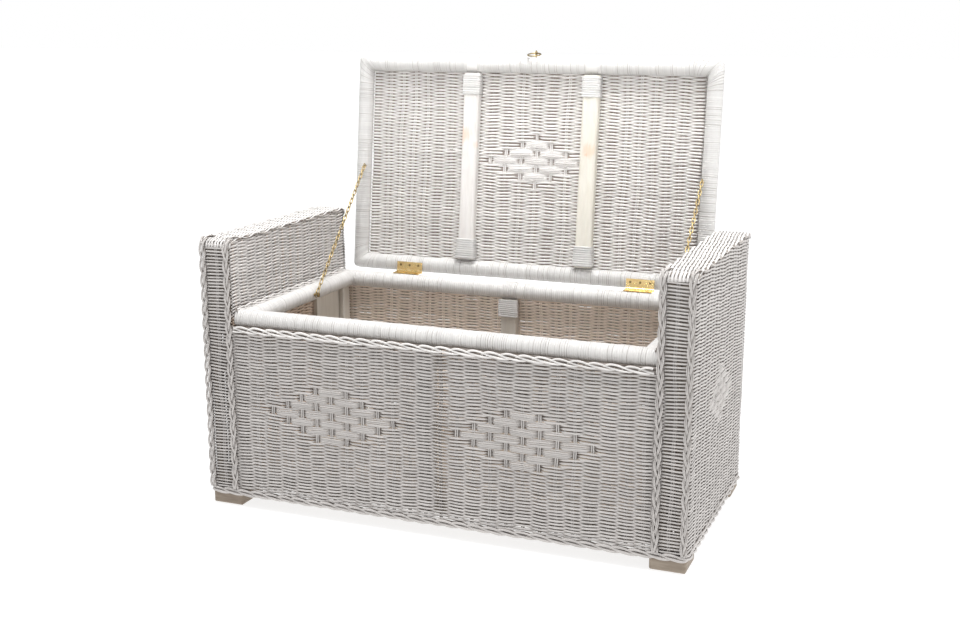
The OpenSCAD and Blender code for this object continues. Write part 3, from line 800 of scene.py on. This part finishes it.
class Arm:
    """What the pieces of an arm share: its side, and where its faces are."""

    def __init__(self, side, sign):
        self.side, self.sign = side, sign
        self.front_y, self.back_y = (middle(f"arm_{end}_panel_{side}")[1] for end in ("front", "back"))
        self.outer_x = middle(f"arm_outer_panel_{side}")[0]
        self.top_low, self.top_high = box(f"arm_top_panel_{side}")
        self.inner_x = sign * min(abs(self.top_low[0]), abs(self.top_high[0]))
        self.rise = self.top_low[2] + 1

    def outer_walls(self):
        """Front face, outer side and back face, one strip of weave round two corners."""
        corners = [(self.inner_x, self.front_y, 0), (self.outer_x, self.front_y, 0),
                   (self.outer_x, self.back_y, 0), (self.inner_x, self.back_y, 0)]
        strip = Sheet(corners, (0, 0, 1), CORNER_R, out=self.sign)
        length = strip.length
        stakes = np.concatenate([[-8, LADDER_STAKE],
                                 np.linspace(CORNER_STAKE, length - CORNER_STAKE, SIDE_STAKES + 1),
                                 [length - LADDER_STAKE, length + 8]])
        last = len(stakes) - 1
        Weave(strip, (TUCK, length - 0.5), (wall_low, self.rise), ROW_PITCH, stakes, 21 + self.sign,
              diamonds=[(2 + SIDE_STAKES // 2, ARM_DIAMOND_Z, 3, 0)], wander=1.25,
              flats={0: 0.4, 1: 0.36, last - 2: 0.36, last - 1: 0.4},
              open_stakes=[(1, 0.8), (last - 1, 0.8)],
              ).build(f"arm_outer_weave_{self.side}", front_reed,
                      [f"arm_{part}_panel_{self.side}" for part in ("outer", "front", "back")])

    def inner_wall(self):
        """The inner wall, which is also the end of the box."""
        low, high = box(f"arm_inner_panel_{self.side}")
        mid_x = (low[0] + high[0]) / 2
        wall = Sheet([(mid_x, low[1] - INNER_TUCK, 0), (mid_x, high[1] + INNER_TUCK, 0)], (0, 0, 1),
                     out=-self.sign)
        Weave(wall, (0, wall.length), (low[2], self.rise), ROW_PITCH,
              spaced(wall.length, int(wall.length / 33.5)), 31 + self.sign,
              low_paint=box("rim_pole_left")[1][2] - 12, depth=(-4.2, -1.8),
              ).build(f"arm_inner_weave_{self.side}", inside_reed, [f"arm_inner_panel_{self.side}"])

    def top(self):
        """The top, whose strands run front to back and curl down over both ends."""
        (left, front, low), (right, back, high) = self.top_low, self.top_high
        middle_z = (low + high) / 2 + 1
        corners = [(0, front + 1.5, low - CURL_DOWN), (0, front + 1.5, middle_z),
                   (0, back - 1.5, middle_z), (0, back - 1.5, low - CURL_DOWN)]
        sheet = Sheet(corners, (-1, 0, 0), CURL_R)
        Weave(sheet, (0, sheet.length), (0.3 - right, -left - 0.3), 3.7,
              spaced(sheet.length, int(sheet.length / 33)), 41 + self.sign, wander=0.5, full=2.75,
              depth=(-3.6, -0.4),
              ).build(f"arm_top_weave_{self.side}", lid_reed, [f"arm_top_panel_{self.side}"], step=9.0)

    def base(self):
        """A plain woven base, which no view of the closed arm shows."""
        base = Sheet([(0, self.front_y + 8, wall_low + 3), (0, self.back_y - 8, wall_low + 3)], (1, 0, 0))
        Weave(base, (0, base.length), sorted((self.inner_x + 9 * self.sign, self.outer_x - 8 * self.sign)),
              3.9, spaced(base.length, 13), 46 + self.sign,
              ).build(f"arm_base_weave_{self.side}", inside_reed, step=0)

    def plaits(self):
        """Two plaits down the front face's edges, over the top edge."""
        low, high = box(f"arm_braids_{self.side}")
        face, crown = high[1] - 3.4, self.top_high[2] + 1.2
        line = Sheet([(0, face, 0), (0, face, crown), (0, self.top_low[1] + 42, crown)], (-1, 0, 0),
                     CURL_R + 2)
        strands = Strands()
        for k, x in enumerate((low[0] + ARM_BRAID_W / 2, high[0] - ARM_BRAID_W / 2)):
            plait(strands, line, (low[2] - 9, line.length), -x, 0.0, ARM_BRAID_W, 2.4, 100.0,
                  ARM_BRAID_REED, 51 + 7 * k + 20 * self.sign)
        strands.build(f"arm_plaits_{self.side}", front_reed, "reed_weave", [f"arm_braids_{self.side}"])

    def foot_cord(self):
        """A two-ply cord along the foot of the inner wall, on the rim."""
        low, high = box(f"rim_pole_{self.side}")
        x = self.inner_x - self.sign * 2.0
        edge = Sheet([(x, low[1] - 16, 0), (x, high[1], 0)], (0, 0, 1), out=-self.sign)
        strands = Strands()
        border(strands, edge, (0, edge.length), high[2] + 0.5, 3.2, 4.0, 1.6, 33.0, 1.8, 61 + self.sign)
        strands.build(f"arm_foot_cord_{self.side}", lid_reed, "reed_weave")


for side, sign in SIDES.items():
    arm = Arm(side, sign)
    arm.outer_walls()
    arm.inner_wall()
    arm.top()
    arm.base()
    arm.plaits()
    arm.foot_cord()

# ---- border and rim braid
BORDER_UNIT = 35.0
BORDER_DROP = 5.0   # the border hangs a little below its bearing
low, high = box("borders_long", "borders_side")
mid_front, mid_back = middle("arm_front_panel_left")[1], middle("arm_back_panel_left")[1]
edge_x = middle("arm_outer_panel_right")[0]
loop = Sheet([(0, mid_back, 0), (-edge_x, mid_back, 0), (-edge_x, mid_front, 0), (edge_x, mid_front, 0),
              (edge_x, mid_back, 0), (0, mid_back, 0)], (0, 0, 1), 12.0)
border_v = (low[2] + high[2]) / 2 - BORDER_DROP
strands = Strands()
# Three rows of reeds, from the outermost in
for drop, out, height, depth, reed, seed in ((0.0, 2.8, 5.6, 3.4, 2.75, 71), (0.5, -0.5, 4.6, 2.6, 2.9, 72),
                                             (1.0, -3.5, 4.2, 2.6, 3.0, 73)):
    border(strands, loop, (0, loop.length), border_v - drop, out, height, depth, BORDER_UNIT, reed, seed)
strands.build("base_border", front_reed, "reed_weave", ["borders_long", "borders_side"])

low, high = box("rim_braid")
line = Sheet([(low[0], high[1] - 3.4, 0), (high[0], high[1] - 3.4, 0)], (0, 0, 1))
strands = Strands()
border(strands, line, (0, line.length), (low[2] + high[2]) / 2 + 1.8, 1.0, 5.9, 2.2, STAKE_PITCH, 2.15, 81)
strands.build("rim_braid_rope", lid_reed, "reed_weave", ["rim_braid"])


# ---- rim poles
def wrap_rim(name, start, end, inward, radius, seed):
    strands = Strands()
    wrapped(strands, start, end, inward, radius, seed)
    strands.build(f"rim_wrap_{name}", cane, "cane_wrap", [f"rim_pole_{name}"])


for name, seed in (("front", 96), ("back", 95)):
    low, high = box(f"rim_pole_{name}")
    _, y, z = (low + high) / 2
    wrap_rim(name, (low[0], y, z), (high[0], y, z), (0, 1, 0), (high[2] - low[2]) / 2, seed)
rim_front_y, rim_back_y = middle("rim_pole_front")[1], middle("rim_pole_back")[1]
for side, sign in SIDES.items():
    low, high = box(f"rim_pole_{side}")
    radius = (high[2] - low[2]) / 2
    x, z = sign * inner_x - sign * radius, (low[2] + high[2]) / 2
    wrap_rim(side, (x, rim_front_y, z), (x, rim_back_y, z), (-sign, 0, 0), radius - 0.3, 101 + sign)

# ---- lid
low, high = box("lid_pole_front", "lid_pole_back", place=LID)
lid_r = (high[2] - low[2]) / 2
lid_middle, lid_half = (low + high) / 2, (high - low) / 2
LID_CORNER_R = 20.0


def round_corners(points):
    """Rounds the lid's outer corners, seen square on."""
    off = points[..., :2] - lid_middle[:2]
    reach = lid_half[:2] - LID_CORNER_R
    past = np.abs(off) - reach
    far = np.hypot(past[..., 0], past[..., 1])
    outside = (past > 0).all(-1) & (far > LID_CORNER_R)
    scale = LID_CORNER_R / np.maximum(far, LID_CORNER_R)
    rounded = lid_middle[:2] + np.sign(off) * (reach + past * scale[..., None])
    made = points.copy()
    made[..., :2] = np.where(outside[..., None], rounded, points[..., :2])
    return made


lid_z = lid_middle[2]
left_x, right_x = low[0] + lid_r, high[0] - lid_r
front_y, back_y = low[1] + lid_r, high[1] - lid_r
for name, start, end, inward, seed in (
    ("front", (left_x, front_y), (right_x, front_y), (0, 1, 0), 112),
    ("back", (left_x, back_y), (right_x, back_y), (0, -1, 0), 110),
    ("left", (left_x, front_y), (left_x, back_y), (1, 0, 0), 122),
    ("right", (right_x, front_y), (right_x, back_y), (-1, 0, 0), 120),
):
    strands = Strands()
    wrapped(strands, (*start, lid_z), (*end, lid_z), inward, lid_r, seed, mitred=True, shape=round_corners)
    strands.build(f"lid_wrap_{name}", lid_cane, "cane_wrap", [f"lid_pole_{name}"], "lid", LID)

LID_ROW = 3.85
LID_DIAMOND_X, LID_DIAMOND_Y = 14.0, -286.0
MID_BAY_PITCH, END_BAY_PITCH = 38.4, 34.0
panel_low, panel_high = box("lid_panel", place=LID)
panel_z = (panel_low[2] + panel_high[2]) / 2
half_bay = 4 * MID_BAY_PITCH
lid_stakes = LID_DIAMOND_X + np.concatenate([
    np.arange(-half_bay - 8 * END_BAY_PITCH, -half_bay - 1, END_BAY_PITCH),
    np.linspace(-half_bay, half_bay, 9),
    np.arange(half_bay + END_BAY_PITCH, half_bay + 8.5 * END_BAY_PITCH, END_BAY_PITCH)])
sheet = Sheet([(panel_low[0], 0, panel_z), (panel_high[0], 0, panel_z)], (0, -1, 0))
Weave(sheet, (4, sheet.length - 4), (-panel_high[1], -panel_low[1]), LID_ROW, lid_stakes - panel_low[0],
      131, diamonds=[(12, -LID_DIAMOND_Y, 3, 1)], behind=1, draw=0.15, depth=(-1.7, 0.7),
      ).build("lid_weave", lid_reed, ["lid_panel"], "lid", LID)

# ---- bindings and straps
BINDING_LEN = 48.0
BINDING_TURNS = 9
STRAP_W = 29.0      # the smooth band over the front pole
low, high = box("lid_batten_left", place=LID)
batten_half = (high[0] - low[0]) / 2
strands, straps = Strands(), Strands()
for k, side in enumerate(SIDES):
    batten_low, batten_high = box(f"lid_batten_{side}", place=LID)
    mid_x = (batten_low[0] + batten_high[0]) / 2
    deep = batten_high[2] - batten_low[2] - 1

    def on_batten(a, b, along, mid_x=mid_x, base=batten_low[2]):
        return np.stack([mid_x + a, along, base - b], -1)

    # The one by the hinges spreads towards its end
    starts = ((batten_low[1] + 4, None),
              (batten_high[1] - 4 - BINDING_LEN, np.linspace(0, 2.2, BINDING_TURNS)))
    for spot, (start, flare) in enumerate(starts):
        turns_round(strands, u_profile(batten_half + 1.6, deep, 1.6), on_batten,
                    start + spaced(BINDING_LEN, BINDING_TURNS), (2.75, 1.7), 141 + 20 * k + 50 * spot,
                    flare=flare)

    def on_pole(a, b, along, mid_x=mid_x):
        return np.stack([mid_x + along, front_y + a, lid_z + b], -1)

    turns_round(straps, arc_profile(lid_r + 1.2, -50, -250), on_pole, [0.0], (STRAP_W / 2, 1.9), 241 + k,
                sides=14, square=0.45)
strands.build("batten_wraps", lid_cane, "cane_wrap", ["batten_bindings"], "lid", LID)
straps.build("lid_straps", strap_cane, "cane_wrap", [], "lid", LID)

# The strap round the back rim pole, seven turns side by side
strap_x = middle("rim_strap")[0]
rim_low, rim_high = box("rim_pole_back")
_, rim_y, rim_z = (rim_low + rim_high) / 2


def on_rim(a, b, along):
    return np.stack([strap_x + along, rim_y + a, rim_z + b], -1)


strands = Strands()
turns_round(strands, arc_profile((rim_high[2] - rim_low[2]) / 2 + 0.6, -30, 215), on_rim,
            (np.arange(7) - 3) * 4.8, (2.5, 1.1), 251)
strands.build("rim_strap_cane", cane, "cane_wrap", ["rim_strap"])

# The heads of the two middle posts, bound with cane
HEAD_H, HEAD_TURNS, HEAD_DEEP = 43.0, 9, 4.5
POST_FACE = 27.0    # from the wall's side of a post to its face
low, high = box("mid_posts")
post_x = (low[0] + high[0]) / 2
strands = Strands()
for k, (face, toward) in enumerate(((high[1] - POST_FACE, -1), (low[1] + POST_FACE, 1))):
    def on_post(a, b, along, face=face, toward=toward):
        return np.stack([post_x + a, face + toward * b, along], -1)

    turns_round(strands, u_profile((high[0] - low[0]) / 2 + 1.2, HEAD_DEEP, 1.2), on_post,
                high[2] - HEAD_H + spaced(HEAD_H, HEAD_TURNS), (2.4, 1.5), 261 + 20 * k)
strands.build("post_head_cane", cane, "cane_wrap")

# ---- camera, light and floor
camera_data = bpy.data.cameras.new("camera")
camera_data.lens, camera_data.sensor_width = 49.09, 36.0
camera = bpy.data.objects.new("camera", camera_data)
camera.location = (1.058, -2.708, 1.090)
camera.rotation_euler = (math.radians(76.76), 0, math.radians(21.65))
bpy.context.scene.collection.objects.link(camera)
bpy.context.scene.camera = camera


def lamp(name, kind, energy, place, target=(0, 0, 0.4), size=1.0, **settings):
    data = bpy.data.lights.new(name, kind)
    data.energy = energy
    if kind == "AREA":
        data.shape, data.size = "SQUARE", size
    for label, value in settings.items():
        setattr(data, label, value)
    made = bpy.data.objects.new(name, data)
    made.location = place
    made.rotation_euler = (Vector(target) - Vector(place)).to_track_quat("-Z", "Y").to_euler()
    bpy.context.scene.collection.objects.link(made)
    return made


lamp("sky_sun", "SUN", 1.15, (0.3, -0.4, 4), angle=math.radians(40))
lamp("top_softbox", "AREA", 45, (0.05, -0.35, 2.9), (0, 0.1, 0.5), 1.2)
lamp("right_softbox", "AREA", 15, (2.4, 0.2, 1.3), (0.3, 0, 0.4), 1.0)
# A narrow beam from the front, held to the lid
beam = lamp("lid_beam", "AREA", 0.8, (0.2, -2.6, 1.35), (0, 0.3, 0.82), 0.9, spread=math.radians(24))
beam.data.shape, beam.data.size_y = "RECTANGLE", 0.35

world = bpy.data.worlds.new("studio")
world.use_nodes = True
bpy.context.scene.world = world
tree = world.node_tree
place = tree.nodes.new("ShaderNodeTexCoord")
axes = tree.nodes.new("ShaderNodeSeparateXYZ")
tree.links.new(place.outputs["Generated"], axes.inputs[0])
# White at the horizon, as a studio backdrop is, and softer overhead
fade = tree.nodes.new("ShaderNodeMapRange")
for label, value in (("From Min", 0.06), ("From Max", 0.2), ("To Min", 1.0), ("To Max", 0.45)):
    fade.inputs[label].default_value = value
tree.links.new(axes.outputs["Z"], fade.inputs["Value"])
tree.links.new(fade.outputs["Result"], tree.nodes["Background"].inputs["Strength"])
tree.nodes["Background"].inputs["Color"].default_value = (1, 1, 1, 1)
bpy.context.scene.view_settings.view_transform = "Standard"

bpy.ops.mesh.primitive_plane_add(size=60)
floor = bpy.context.object
floor.name = "studio_floor"
# A lit table, as for a cut-out photograph: white all over, with only a faint shadow
m = Material("floor_table", Roughness=0.9, Emission_Color=(1, 1, 1, 1), Emission_Strength=0.8)
cloth = m.mix(m.noise((3, 3, 3), 1.0), (0.36, 0.36, 0.36), (0.38, 0.38, 0.38))
floor.data.materials.append(m.finish(cloth))
floor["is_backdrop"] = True

low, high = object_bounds()
